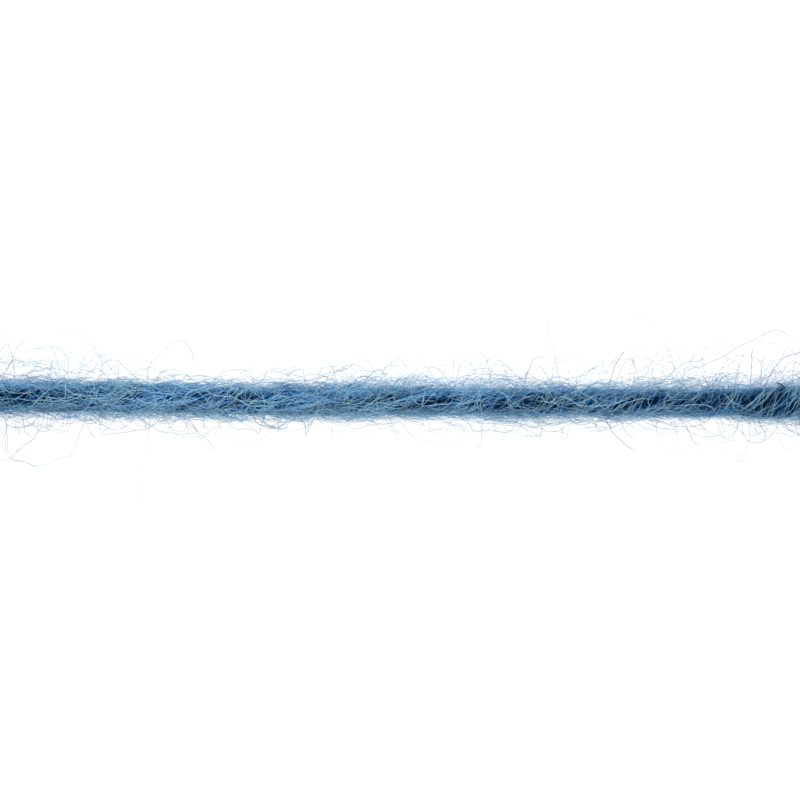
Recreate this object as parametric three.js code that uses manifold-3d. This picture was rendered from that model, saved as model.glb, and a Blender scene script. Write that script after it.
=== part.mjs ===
// A cut length of soft single-ply knitting yarn, lying straight on a surface.
// Millimetres. +X runs along the strand, +Y across it and +Z up. The origin is on the surface,
// under the middle of the strand.

import * as THREE from 'three';
import { mergeVertices } from 'three/addons/utils/BufferGeometryUtils.js';
import Module from 'manifold-3d';

const wasm = await Module();
wasm.setup();

// Driving dimensions
const yarnLength = 80;
const floorFlattening = 0.14; // share of the radius by which the strand sags onto the surface
const cutEndShare = 0.8;      // the last ring at a cut end against the full radius

const lobeCount = 3;          // rovings that show as soft ridges winding along the strand
const lobeDepth = 0.075;      // ridge height, as a share of the radius
const mainLobe = 0.035;       // how much one ridge outgrows the others
const slubDepth = 0.03;       // small lumps of the same kind
const slubsPerMm = 0.21;

const strandSides = 22;
const strandSteps = 96;

const clearance = 0.35;       // between the strand and the band of raised fibre beside it
const bandWidth = 0.3;
const bandHeight = 0.3;
const bandRise = 0.95;        // height of the band's middle over the surface
const bandSteps = 54;
const bandInset = 1.2;        // how far the band stops short of each cut end

const hairRadius = 0.075;     // a lock of a few fibres, so that it holds as a solid
const hairSides = 3;
const hairSteps = 7;
const hairLevels = [0.35, 1.1, 2.0, 2.9, 3.8]; // heights that the tips end at, taken in turn
const shortestShare = 0.5;    // the shortest hair of a stretch against its longest
const backLean = 0.45;        // some lean the other way, by this share of the row's lean
const reachStep = 0.618;      // steps that spread the shares of neighbouring hairs without a pattern
const leanStep = 0.755;
const curlStep = 0.57;

// Where the strand lies, one row for every 5 mm from the left cut end to the right one:
// y is the middle across, radius the half width and turn the angle that its ridges have wound through.
const lie = [
  { y: 0.32, radius: 1.24, turn: 0 },
  { y: 0.30, radius: 1.26, turn: 62 },
  { y: 0.24, radius: 1.31, turn: 120 },
  { y: 0.13, radius: 1.29, turn: 178 },
  { y: 0.10, radius: 1.23, turn: 240 },
  { y: 0.02, radius: 1.21, turn: 300 },
  { y: -0.12, radius: 1.23, turn: 356 },
  { y: -0.06, radius: 1.29, turn: 420 },
  { y: 0.00, radius: 1.37, turn: 490 },
  { y: 0.03, radius: 1.27, turn: 562 },
  { y: -0.19, radius: 1.36, turn: 640 },
  { y: -0.15, radius: 1.25, turn: 726 },
  { y: -0.08, radius: 1.36, turn: 822 },
  { y: 0.07, radius: 1.40, turn: 930 },
  { y: -0.04, radius: 1.64, turn: 1046 },
  { y: -0.10, radius: 1.68, turn: 1166 },
  { y: -0.16, radius: 1.60, turn: 1280 },
];

// Loose fibre that stands off each side. A row is one stretch of the strand, from x to x: how many
// hairs it holds, how far the longest reaches out from the band, how far the most slanted leans
// along +X, and how far the most curled tip comes back, as a share of its reach.
const farFuzz = [
  { from: -38.5, to: -32, hairs: 6, reach: 3.8, lean: 2.4, curl: 0.25 },
  { from: -32, to: -24, hairs: 8, reach: 4.0, lean: 3.2, curl: 0.35 },
  { from: -24, to: -16, hairs: 5, reach: 2.6, lean: 2.6, curl: 0.45 },
  { from: -16, to: -8, hairs: 4, reach: 1.2, lean: 1.6, curl: 0.10 },
  { from: -8, to: 9, hairs: 8, reach: 1.6, lean: 2.4, curl: 0.15 },
  { from: 9, to: 16, hairs: 4, reach: 5.6, lean: -1.6, curl: 0.00 },
  { from: 16, to: 24, hairs: 7, reach: 4.8, lean: 3.4, curl: 0.30 },
  { from: 24, to: 32, hairs: 8, reach: 4.4, lean: 4.0, curl: 0.20 },
  { from: 32, to: 38.5, hairs: 5, reach: 3.6, lean: 2.8, curl: 0.25 },
];

const nearFuzz = [
  { from: -38.5, to: -32, hairs: 5, reach: 3.2, lean: -2.4, curl: 0.30 },
  { from: -32, to: -24, hairs: 7, reach: 4.0, lean: -2.8, curl: 0.45 },
  { from: -24, to: -20.5, hairs: 3, reach: 1.8, lean: 2.0, curl: 0.20 },
  { from: -20.5, to: -19.5, hairs: 1, reach: 7.2, lean: -0.8, curl: 0.00 },
  { from: -19.5, to: -12, hairs: 5, reach: 2.2, lean: 3.0, curl: 0.20 },
  { from: -12, to: 2, hairs: 6, reach: 1.1, lean: 1.6, curl: 0.30 },
  { from: 2, to: 15, hairs: 6, reach: 1.3, lean: 2.2, curl: 0.15 },
  { from: 15, to: 20, hairs: 3, reach: 2.6, lean: 2.6, curl: 0.05 },
  { from: 20, to: 32, hairs: 9, reach: 3.1, lean: 2.4, curl: 0.35 },
  { from: 32, to: 38.5, hairs: 5, reach: 2.8, lean: -2.4, curl: 0.30 },
];

const woolBlue = new THREE.MeshStandardMaterial({ color: 0x4a7ba6, roughness: 0.95, metalness: 0 });
const fuzzBlue = new THREE.MeshStandardMaterial({ color: 0x8fb4d6, roughness: 0.95, metalness: 0 });

const halfLength = yarnLength / 2;
const lieCurve = new THREE.CatmullRomCurve3(
  lie.map((row, i) => new THREE.Vector3((i / (lie.length - 1) - 0.5) * yarnLength, row.y, row.radius)),
  false,
  'catmullrom',
);
const turnCurve = new THREE.SplineCurve(lie.map((row, i) => new THREE.Vector2(i, row.turn)));

// Middle, half width and twist of the strand at a place along it
function strandAt(x) {
  const share = THREE.MathUtils.clamp(x / yarnLength + 0.5, 0, 1);
  const row = lieCurve.getPoint(share);
  const turn = THREE.MathUtils.degToRad(turnCurve.getPoint(share).y);
  return { y: row.y, z: row.z * (1 - floorFlattening), radius: row.z, turn };
}

// Half width in one direction round the strand: the ridges wind against +X, an S twist
function ridgedRadius(place, x, angle) {
  const ridge = angle + place.turn;
  const lobes = lobeDepth * Math.cos(lobeCount * ridge) + mainLobe * Math.cos(ridge);
  const slubs = slubDepth * Math.sin(2 * Math.PI * slubsPerMm * x + 2 * angle);
  return place.radius * (1 + lobes + slubs);
}

function widestRadius(place) {
  return place.radius * (1 + lobeDepth + mainLobe + slubDepth);
}

function makeStrand() {
  const geometry = new THREE.CylinderGeometry(1, 1, yarnLength, strandSides, strandSteps);
  geometry.rotateZ(-Math.PI / 2);
  const point = geometry.attributes.position;
  for (let i = 0; i < point.count; i++) {
    const x = point.getX(i);
    const place = strandAt(x);
    const angle = Math.atan2(point.getZ(i), point.getY(i));
    const atCut = Math.abs(x) > halfLength - 1e-3 ? cutEndShare : 1;
    const spread = Math.hypot(point.getY(i), point.getZ(i)) * atCut;
    const radius = spread * ridgedRadius(place, x, angle);
    const z = place.z + radius * Math.sin(angle);
    point.setXYZ(i, x, place.y + radius * Math.cos(angle), Math.max(0, z));
  }
  geometry.computeVertexNormals();
  return new THREE.Mesh(geometry, woolBlue);
}

// The middle of the band of raised fibre on one side of the strand
function bandPoint(x, side) {
  const place = strandAt(x);
  const y = place.y + side * (widestRadius(place) + clearance + bandWidth / 2);
  return new THREE.Vector3(x, y, bandRise);
}

function bandGeometry(side) {
  const start = -halfLength + bandInset;
  const points = lie.map((row, i) => bandPoint(start - 2 * start * (i / (lie.length - 1)), side));
  const section = new THREE.Shape([
    new THREE.Vector2(-bandHeight / 2, -bandWidth / 2),
    new THREE.Vector2(bandHeight / 2, -bandWidth / 2),
    new THREE.Vector2(bandHeight / 2, bandWidth / 2),
    new THREE.Vector2(-bandHeight / 2, bandWidth / 2),
  ]);
  const path = new THREE.CatmullRomCurve3(points);
  return new THREE.ExtrudeGeometry(section, { steps: bandSteps, extrudePath: path });
}

// One hair: out of the band, up or down to its own height, and curled back at the tip
function hairGeometry(x, side, hair) {
  const root = bandPoint(x, side);
  const { reach, lean, curl } = hair;
  const rise = hair.level - root.z;
  const at = (along, out, up) =>
    new THREE.Vector3(root.x + lean * along, root.y + side * reach * out, root.z + rise * up);
  const path = new THREE.CatmullRomCurve3([
    at(0, 0, 0),
    at(0.12, 0.35, 0.75),
    at(0.45, 0.75, 1),
    at(0.8, 1, 1),
    at(1.1, 1 - curl, 0.9),
  ]);
  const corners = Array.from({ length: hairSides }, (_, i) => {
    const angle = (2 * Math.PI * i) / hairSides;
    return new THREE.Vector2(hairRadius * Math.cos(angle), hairRadius * Math.sin(angle));
  });
  return new THREE.ExtrudeGeometry(new THREE.Shape(corners), { steps: hairSteps, extrudePath: path });
}

function toSolid(geometry) {
  geometry.deleteAttribute('normal');
  geometry.deleteAttribute('uv');
  const merged = mergeVertices(geometry, 1e-4);
  const mesh = new wasm.Mesh({
    numProp: 3,
    vertProperties: new Float32Array(merged.attributes.position.array),
    triVerts: new Uint32Array(merged.index.array),
  });
  return new wasm.Manifold(mesh);
}

function toGeometry(solid) {
  const mesh = solid.getMesh();
  const geometry = new THREE.BufferGeometry();
  geometry.setAttribute('position', new THREE.BufferAttribute(new Float32Array(mesh.vertProperties), 3));
  geometry.setIndex(new THREE.BufferAttribute(new Uint32Array(mesh.triVerts), 1));
  geometry.computeVertexNormals();
  return geometry;
}

// The band and all its hairs on one side, as one solid
function makeFuzz(side, rows) {
  let solid = toSolid(bandGeometry(side));
  let count = 0;
  for (const row of rows) {
    for (let i = 0; i < row.hairs; i++) {
      const x = row.from + ((i + 0.5) / row.hairs) * (row.to - row.from);
      const lone = row.hairs === 1;
      const share = (step) => (lone ? 1 : (count * step) % 1);
      const hair = {
        reach: row.reach * (shortestShare + (1 - shortestShare) * share(reachStep)),
        lean: row.lean * ((1 + backLean) * share(leanStep) - (lone ? 0 : backLean)),
        curl: row.curl * share(curlStep),
        level: hairLevels[count % hairLevels.length],
      };
      solid = solid.add(toSolid(hairGeometry(x, side, hair)));
      count++;
    }
  }
  return new THREE.Mesh(toGeometry(solid), fuzzBlue);
}

const yarn = new THREE.Group();

const strand = makeStrand();
strand.name = 'strand';
yarn.add(strand);

const fuzzFar = makeFuzz(1, farFuzz);
fuzzFar.name = 'fuzz_far';
yarn.add(fuzzFar);

const fuzzNear = makeFuzz(-1, nearFuzz);
fuzzNear.name = 'fuzz_near';
yarn.add(fuzzNear);

export default yarn;
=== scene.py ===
import math
import random

import bpy
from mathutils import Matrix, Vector


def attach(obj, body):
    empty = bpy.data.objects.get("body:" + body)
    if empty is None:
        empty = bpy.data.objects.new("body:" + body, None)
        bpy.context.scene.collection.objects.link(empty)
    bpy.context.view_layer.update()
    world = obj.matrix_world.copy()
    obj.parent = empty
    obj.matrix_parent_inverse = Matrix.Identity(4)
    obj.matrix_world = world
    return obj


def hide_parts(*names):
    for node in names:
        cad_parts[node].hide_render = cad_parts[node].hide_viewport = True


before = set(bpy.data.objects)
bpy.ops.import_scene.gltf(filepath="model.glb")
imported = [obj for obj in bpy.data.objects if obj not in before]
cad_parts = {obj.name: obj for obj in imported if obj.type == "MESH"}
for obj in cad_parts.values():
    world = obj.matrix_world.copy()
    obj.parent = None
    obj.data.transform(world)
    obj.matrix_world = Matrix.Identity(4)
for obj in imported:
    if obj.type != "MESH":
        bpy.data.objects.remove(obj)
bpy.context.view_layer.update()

mm = 0.001  # the tables are in millimetres, Blender works in metres
degree = math.pi / 180

# The strand as it lies, a value for every 5 mm from the left cut end to the right one. y and height
# are its middle, halfWidth is that of its dense wool and turn how far its ridges have wound, in
# degrees. Pile is how far short wool stands off, far on the +Y side and near on the -Y side, and
# Loose how far single fibres reach there. lean is how far fibres turn from the ridges, in degrees,
# positive downwards in the picture, pale how much lighter they are and coarse how much thicker.
lie = dict(
    y=[0.3, 0.28, 0.24, 0.22, 0.09, 0.02, -0.1, -0.12, -0.09,
       -0.1, -0.22, -0.22, -0.2, -0.16, -0.23, -0.26, -0.24],
    height=[1.03, 1.03, 1.08, 1.05, 1.01, 1.0, 1.01, 1.05, 1.11,
            1.01, 1.09, 1.0, 1.06, 1.09, 1.28, 1.32, 1.28],
    halfWidth=[1.05, 1.04, 1.04, 0.99, 1.0, 0.98, 0.93, 0.94, 0.96,
               0.97, 0.97, 0.94, 0.93, 0.97, 1.15, 1.24, 1.2],
    turn=[0, 62, 120, 178, 240, 300, 356, 420, 490, 562, 640, 726, 822, 930, 1046, 1166, 1280],
    farPile=[0.7, 0.7, 0.85, 0.75, 0.7, 0.95, 0.8, 1.05, 1.65, 1.2, 1.6, 0.95, 1.35, 1.6, 1.6, 1.5, 1.3],
    nearPile=[0.9, 0.85, 0.95, 1.0, 1.05, 0.85, 0.95, 0.85, 0.7, 0.7, 1.1, 0.85, 0.7, 0.6, 0.9, 1.15, 0.9],
    farLoose=[3.8, 4.0, 3.8, 2.6, 1.6, 1.4, 1.6, 2.4, 2.4, 2.6, 2.8, 3.2, 3.6, 3.8, 4.0, 4.0, 3.6],
    nearLoose=[2.8, 2.0, 1.5, 1.4, 1.6, 1.6, 1.6, 1.4, 1.2, 1.4, 1.6, 1.6, 1.6, 1.6, 1.8, 2.0, 2.0],
    lean=[12, 12, 14, 10, 6, 8, 10, 6, 2, -2, 4, -4, -2, 10, -4, -12, -10],
    pale=[-0.06, -0.14, -0.08, 0.05, 0.15, 0.23, 0.18, 0.1, 0.06,
          0.11, 0.02, -0.11, -0.23, -0.32, -0.4, -0.38, -0.18],
    coarse=[1.0, 1.0, 1.0, 1.0, 1.05, 1.08, 1.08, 1.0, 0.94, 0.9, 0.88, 0.88, 0.86, 0.84, 0.82, 0.82, 0.82],
)

strand = dict(
    length=80,
    lobes=3,         # soft ridges that wind along it
    lobeDepth=0.075,
    mainLobe=0.035,  # how much one ridge outgrows the others
    slubDepth=0.03,
    slubsPerMm=0.21,
    lowest=0.03,     # height of the lowest point that a guide may have
)
halfLength = strand["length"] / 2
rowStep = strand["length"] / (len(lie["y"]) - 1)


# A smooth value between those of the table, x in millimetres
def rowAt(x, column):
    values = lie[column]
    place = (x / strand["length"] + 0.5) * (len(values) - 1)
    i = min(max(int(place), 0), len(values) - 2)
    t = place - i
    b = values[i]
    c = values[i + 1]
    a = values[i - 1] if i > 0 else 2 * b - c
    d = values[i + 2] if i + 2 < len(values) else 2 * c - b
    slopeB = (c - a) / 2
    slopeC = (d - b) / 2
    bend = 2 * b - 2 * c + slopeB + slopeC
    return b + slopeB * t + (3 * c - 3 * b - 2 * slopeB - slopeC) * t * t + bend * t ** 3


# A point on the strand's surface or off it by lift; bearing is the angle round it from +Y and
# share is how far out from the middle
def onStrand(x, bearing, lift=0.0, share=1.0):
    ridge = bearing + math.radians(rowAt(x, "turn"))
    ridges = strand["lobeDepth"] * math.cos(strand["lobes"] * ridge) + strand["mainLobe"] * math.cos(ridge)
    slubs = strand["slubDepth"] * math.sin(2 * math.pi * strand["slubsPerMm"] * x + 2 * bearing)
    reach = rowAt(x, "halfWidth") * (1 + ridges + slubs) * share + lift
    height = rowAt(x, "height") + reach * math.sin(bearing)
    return Vector((x, rowAt(x, "y") + reach * math.cos(bearing), max(height, strand["lowest"])))


# The bearing of a place seen from above; edge is the share of the half width that counts as its rim
def bearingAbove(x, y, edge):
    across = (y - rowAt(x, "y")) / rowAt(x, "halfWidth")
    return math.acos(max(-edge, min(edge, across)))


# The camera looks straight down on the strand, +X to the right and +Y up in the picture
camera = dict(across=64, lens=200, sensor=36, aim=1.3)


def makeCamera():
    data = bpy.data.cameras.new("camera")
    data.lens = camera["lens"]
    data.sensor_width = camera["sensor"]
    away = camera["across"] * camera["lens"] / camera["sensor"]
    eye = bpy.data.objects.new("camera", data)
    eye.location = (0, 0, (camera["aim"] + away) * mm)
    bpy.context.scene.collection.objects.link(eye)
    bpy.context.scene.camera = eye


makeCamera()
print("camera set")


# A socket that sums and products are written with, each adding its Math node
class Wire:
    def __init__(self, board, socket):
        self.board = board
        self.socket = socket

    def __add__(self, other):
        return self.board.maths("ADD", self, other)

    def __radd__(self, other):
        return self.board.maths("ADD", other, self)

    def __sub__(self, other):
        return self.board.maths("SUBTRACT", self, other)

    def __rsub__(self, other):
        return self.board.maths("SUBTRACT", other, self)

    def __mul__(self, other):
        return self.board.maths("MULTIPLY", self, other)

    def __rmul__(self, other):
        return self.board.maths("MULTIPLY", other, self)

    def __truediv__(self, other):
        return self.board.maths("DIVIDE", self, other)

    def __rtruediv__(self, other):
        return self.board.maths("DIVIDE", other, self)

    def __pow__(self, other):
        return self.board.maths("POWER", self, other)

    def also(self, name):  # another output of the same node
        return Wire(self.board, self.socket.node.outputs[name])


# A node tree, for geometry or a material, and the ways to add nodes to it
class Board:
    def __init__(self, tree):
        self.tree = tree

    def feed(self, node, name, value):
        ready = [s for s in node.inputs if s.enabled]
        socket = next((s for s in ready if s.identifier == name), None)
        socket = socket or next(s for s in ready if s.name == name)
        if isinstance(value, Wire):
            self.tree.links.new(value.socket, socket)
        else:
            socket.default_value = value

    def node(self, kind, settings=None, sockets=None, out=None):
        node = self.tree.nodes.new(kind)
        for name, value in (settings or {}).items():
            if name == "stops":
                ramp = node.color_ramp
                while len(ramp.elements) < len(value):
                    ramp.elements.new(1.0)
                for element, (place, colour) in zip(ramp.elements, value):
                    element.position = place
                    element.color = (*colour, 1.0)
            else:
                setattr(node, name, value)
        for name, value in (sockets or {}).items():
            self.feed(node, name, value)
        ready = [s for s in node.outputs if s.enabled]
        if not ready:
            return None
        return Wire(self, next((s for s in ready if s.name == out), ready[0]))

    def maths(self, operation, *values):
        sockets = dict(zip(("Value", "Value_001"), values))
        return self.node("ShaderNodeMath", {"operation": operation}, sockets)

    def vector(self, x, y, z):
        return self.node("ShaderNodeCombineXYZ", None, {"X": x, "Y": y, "Z": z})

    def parts(self, vector):
        x = self.node("ShaderNodeSeparateXYZ", None, {"Vector": vector}, out="X")
        return x, x.also("Y"), x.also("Z")

    # 0 below low, 1 above high and smooth between
    def ease(self, value, low, high):
        sockets = {"Value": value, "From Min": low, "From Max": high}
        return self.node("ShaderNodeMapRange", {"interpolation_type": "SMOOTHSTEP"}, sockets)

    def attribute(self, name):
        return self.node("GeometryNodeInputNamedAttribute", {"data_type": "FLOAT"}, {"Name": name})

    def store(self, geometry, name, value, kind="FLOAT", domain="POINT"):
        settings = {"data_type": kind, "domain": domain}
        sockets = {"Geometry": geometry, "Name": name, "Value": value}
        return self.node("GeometryNodeStoreNamedAttribute", settings, sockets)

    def guide(self, thing):  # the lines of a helper object
        return self.node("GeometryNodeObjectInfo", {"transform_space": "ORIGINAL"}, {"Object": thing},
                         out="Geometry")

    def noise(self, vector, detail, flat=False, out=None, **more):
        sockets = {"Vector": vector, "Scale": 1.0, "Detail": detail, **more}
        return self.node("ShaderNodeTexNoise", {"noise_dimensions": "2D" if flat else "3D"}, sockets, out)


# A geometry tree with named inputs, their kinds told by the values they will get
def geometryBoard(name, values):
    tree = bpy.data.node_groups.new(name, "GeometryNodeTree")
    for title, value in values.items():
        kind = {int: "Int", float: "Float", bpy.types.Object: "Object"}.get(type(value), "Material")
        tree.interface.new_socket(title, in_out="INPUT", socket_type="NodeSocket" + kind)
    tree.interface.new_socket("Geometry", in_out="OUTPUT", socket_type="NodeSocketGeometry")
    board = Board(tree)
    entry = tree.nodes.new("NodeGroupInput")
    return board, {s.name: Wire(board, s) for s in entry.outputs if s.name}


def closeTree(board, geometry, material):
    smooth = board.node("GeometryNodeSetShadeSmooth", None, {"Geometry": geometry})
    real = board.node("GeometryNodeRealizeInstances", None, {"Geometry": smooth})
    dressed = board.node("GeometryNodeSetMaterial", None, {"Geometry": real, "Material": material})
    finish = board.tree.nodes.new("NodeGroupOutput")
    board.tree.links.new(dressed.socket, finish.inputs[0])


# Runs a tree on an empty object and keeps the result as a plain mesh
def grow(name, tree, values):
    piece = bpy.data.objects.new(name, bpy.data.meshes.new(name))
    bpy.context.scene.collection.objects.link(piece)
    modifier = piece.modifiers.new("grow", "NODES")
    modifier.node_group = tree
    for item in tree.interface.items_tree:
        if item.in_out == "INPUT":
            modifier[item.identifier] = values[item.name]
    bpy.context.view_layer.update()
    ready = piece.evaluated_get(bpy.context.evaluated_depsgraph_get())
    mesh = bpy.data.meshes.new_from_object(ready)
    piece.modifiers.clear()
    piece.data = mesh
    mesh.name = name
    mesh.calc_loop_triangles()
    print(name, "grown,", len(mesh.loop_triangles), "triangles")
    return piece


# Open lines in a helper object that trees read; numbers are kept at each point by name
def guideObject(name, lines, numbers):
    points = []
    edges = []
    kept = {title: [] for title in numbers}
    for line in lines:
        first = len(points)
        points += [p * mm for p in line["points"]]
        edges += [(first + i, first + i + 1) for i in range(len(line["points"]) - 1)]
        for title in numbers:
            value = line[title]
            kept[title] += value if isinstance(value, list) else [value] * len(line["points"])
    mesh = bpy.data.meshes.new(name)
    mesh.from_pydata(points, edges, [])
    for title, values in kept.items():
        mesh.attributes.new(title, "FLOAT", "POINT").data.foreach_set("value", values)
    guide = bpy.data.objects.new(name, mesh)
    bpy.context.scene.collection.objects.link(guide)
    return guide


# What the route keeps of the table, each in metres, radians or as it stands
routeUnits = dict(
    halfWidth=mm, turn=degree, lean=degree, pale=1, coarse=1,
    farPile=mm, nearPile=mm, farLoose=mm, nearLoose=mm,
)
routeSteps = 160


def makeRoute():
    xs = [(i / routeSteps - 0.5) * strand["length"] for i in range(routeSteps + 1)]
    line = {title: [rowAt(x, title) * unit for x in xs] for title, unit in routeUnits.items()}
    line["points"] = [Vector((x, rowAt(x, "y"), rowAt(x, "height"))) for x in xs]
    return guideObject("route", [line], tuple(routeUnits))


# Places where the wool parts and sinks, the wool there darkened with painted shade: x along and y across as
# seen from above, length along the fibre, depth the share of a full dent
partings = [
    (-36.8, 0.30, 2.6, 0.8), (-30.8, 0.45, 3.6, 1.2), (-31.4, -0.20, 3.2, 1.3), (-29.0, 0.65, 2.4, 0.9),
    (-26.8, 0.50, 2.6, 0.8), (-24.8, 0.45, 1.8, 0.8), (-25.0, -0.20, 1.8, 0.5), (-21.6, 0.35, 2.4, 0.5),
    (-15.0, 0.10, 1.8, 0.6), (-12.8, 0.60, 2.2, 1.0), (-11.8, 0.15, 2.4, 1.1), (-9.0, -0.10, 1.8, 0.4),
    (-6.0, -0.75, 3.0, 0.8), (-4.4, -0.20, 1.6, 0.6), (-1.0, 0.45, 2.0, 0.8), (-1.4, -0.15, 2.0, 0.6),
    (1.2, -0.60, 2.2, 1.1), (3.0, -0.15, 2.0, 0.9), (7.4, -0.50, 2.4, 1.0), (9.2, -0.85, 2.6, 1.0),
    (11.0, 0.05, 2.4, 1.1), (11.6, -0.50, 2.2, 1.0), (15.0, -0.65, 2.4, 0.8), (18.6, -0.20, 2.4, 1.3),
    (18.9, -0.75, 3.2, 1.6), (20.8, 0.40, 2.2, 1.2), (21.4, -0.20, 2.2, 1.0), (23.2, 0.10, 1.8, 1.1),
    (25.0, 0.30, 2.6, 1.4), (25.2, -0.25, 2.4, 1.3), (29.0, 0.25, 2.6, 1.1), (29.2, -0.35, 2.6, 1.2),
    (30.8, -0.90, 2.6, 1.1), (34.0, 0.10, 2.8, 1.0), (37.2, -0.40, 2.4, 0.9),
]
# More of them, drawn round the sides and underneath
hiddenPartings = dict(
    count=36, seed=5, fromEnds=2, farSide=(-80, 25), nearSide=(155, 260), length=2.4, lengths=(0.6, 1.4),
    depth=0.75, depths=(0.6, 1.3),
)
partingShape = dict(steps=6, edge=0.95, core=0.15)  # core is the share of its width that is full depth
partingWidth = 0.7 * mm


def makePartings():
    lines = []
    for x, y, length, depth in partings:
        bearing = bearingAbove(x, y, partingShape["edge"])
        lines.append(dict(x=x, bearing=bearing, length=length, depth=depth))
    look = hiddenPartings
    draw = random.Random(look["seed"])
    for _ in range(look["count"]):
        x = draw.uniform(look["fromEnds"] - halfLength, halfLength - look["fromEnds"])
        sides = [draw.uniform(*look["farSide"]), draw.uniform(*look["nearSide"])]
        bearing = math.radians(draw.choice(sides))
        length = look["length"] * draw.uniform(*look["lengths"])
        depth = look["depth"] * draw.uniform(*look["depths"])
        lines.append(dict(x=x, bearing=bearing, length=length, depth=depth))
    steps = partingShape["steps"]
    for line in lines:
        xs = [line["x"] + (i / steps - 0.5) * line["length"] for i in range(steps + 1)]
        xs = [max(-halfLength, min(halfLength, x)) for x in xs]
        wound = [math.radians(rowAt(line["x"], "turn") - rowAt(x, "turn")) for x in xs]
        line["points"] = [onStrand(x, line["bearing"] + w) for x, w in zip(xs, wound)]
    return guideObject("partings", lines, ("depth",))


route = makeRoute()
parted = makePartings()
print("route and partings laid")


haloBlend = 0.5  # how gradually the halo of one side gives way to the other's


# The strand at a place along it, read from the route
class Spot:
    def __init__(self, board, given, x):
        curve = board.node("GeometryNodeMeshToCurve", None, {"Mesh": board.guide(given["Route"])})
        share = board.maths("MAXIMUM", x / (strand["length"] * mm) + 0.5, 0.0)
        share = board.maths("MINIMUM", share, 1.0)

        def read(*titles):  # three numbers at once, as a vector
            value = board.vector(*[board.attribute(title) for title in titles])
            return board.node("GeometryNodeSampleCurve",
                              {"data_type": "FLOAT_VECTOR", "mode": "FACTOR", "use_all_curves": False},
                              {"Curves": curve, "Value": value, "Factor": share}, out="Value")

        size = read("halfWidth", "turn", "pale")
        self.board = board
        self.x = x
        self.halfWidth, self.turn, self.pale = board.parts(size)
        _, self.y, self.z = board.parts(size.also("Position"))
        self.far = read("farPile", "farLoose", "lean")
        self.near = read("nearPile", "nearLoose", "coarse")

    # how far short pile and loose fibre stand off in one direction round the strand
    def halo(self, bearing):
        board = self.board
        toFar = board.ease(board.maths("COSINE", bearing), -haloBlend, haloBlend)
        farPile, farLoose, _ = board.parts(self.far)
        nearPile, nearLoose, _ = board.parts(self.near)
        return nearPile + (farPile - nearPile) * toFar, nearLoose + (farLoose - nearLoose) * toFar

    def lean(self):
        return self.board.parts(self.far)[2]

    def coarse(self):
        return self.board.parts(self.near)[2]

    # how far the surface is from the middle; angle turns with the wool, bearing doesn't
    def surface(self, angle):
        board = self.board
        bearing = angle - self.turn
        ridges = board.maths("COSINE", angle * strand["lobes"]) * strand["lobeDepth"]
        ridges = ridges + board.maths("COSINE", angle) * strand["mainLobe"]
        wave = self.x * (2 * math.pi * strand["slubsPerMm"] / mm) + bearing * 2
        slubs = board.maths("SINE", wave) * strand["slubDepth"]
        return self.halfWidth * (ridges + slubs + 1), bearing

    def place(self, bearing, reach, lowest, x=None):
        board = self.board
        y = self.y + reach * board.maths("COSINE", bearing)
        z = self.z + reach * board.maths("SINE", bearing)
        return board.vector(x or self.x, y, board.maths("MAXIMUM", z, lowest))


# How deep a point lies in a parting, from 0 outside to 1 in the middle of a full one, and on
# which side of it, -1 or 1
def partingAt(board, given, spot, bearing, surface):
    place = spot.place(bearing, surface, 0.0)
    mesh = board.guide(given["Partings"])
    away = board.node("GeometryNodeProximity", {"target_element": "EDGES"},
                      {"Target": mesh, "Source Position": place}, out="Distance")
    which = board.node("GeometryNodeSampleNearest", {"domain": "POINT"},
                       {"Geometry": mesh, "Sample Position": place})
    depth = board.node("GeometryNodeSampleIndex", {"data_type": "FLOAT", "domain": "POINT"},
                       {"Geometry": mesh, "Value": board.attribute("depth"), "Index": which})
    width = given["Parting Width"]
    _, y, z = board.parts(away.also("Position"))
    itsBearing = board.maths("ARCTAN2", z - spot.z, y - spot.y)
    side = board.maths("SIGN", board.maths("SINE", bearing - itsBearing))
    return (1 - board.ease(away, width * partingShape["core"], width)) * depth, side


# The body of the strand: a dense tube with soft bundles of fibre winding along it
body = {
    "Sides": 72, "Rings": 440, "Inset": 0.22 * mm, "Bundle Depth": 0.34 * mm, "Fibre Depth": 0.16 * mm,
    "Dent": 0.14 * mm, "Parting Width": partingWidth, "Rim": 0.6 * mm, "Dome": 0.25 * mm, "Tuft": 0.7 * mm,
    "Tuft Width": 0.16,
}
# Its cut ends and its tones: fall is how round the rim is, rise the share of the face over which the
# tufts grow and shaded how far the wool is lighter from the cut
cutFace = dict(rings=14, fall=0.36, rise=0.12, apart=9, shaded=3.5)
bodyTones = dict(middle=0.5, bundle=1.2, cut=0.3, face=0.3, tuft=2.4)
# Streaks in the wool, their width and length along the fibre
bundles = dict(width=0.55, length=4.5, detail=1.0)
fibres = dict(width=0.16, length=2.6, detail=2.0)
flow = dict(width=1.3, length=5.0, detail=0.0)
patternRadius = 1.15 * mm  # a middling half width, for patterns that run round the strand


def streaks(board, x, angle, look):
    width = look["width"] * mm / patternRadius
    vector = board.vector(x / (look["length"] * mm), board.maths("COSINE", angle) / width,
                          board.maths("SINE", angle) / width)
    return board.noise(vector, look["detail"], Roughness=0.6) - 0.5


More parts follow.
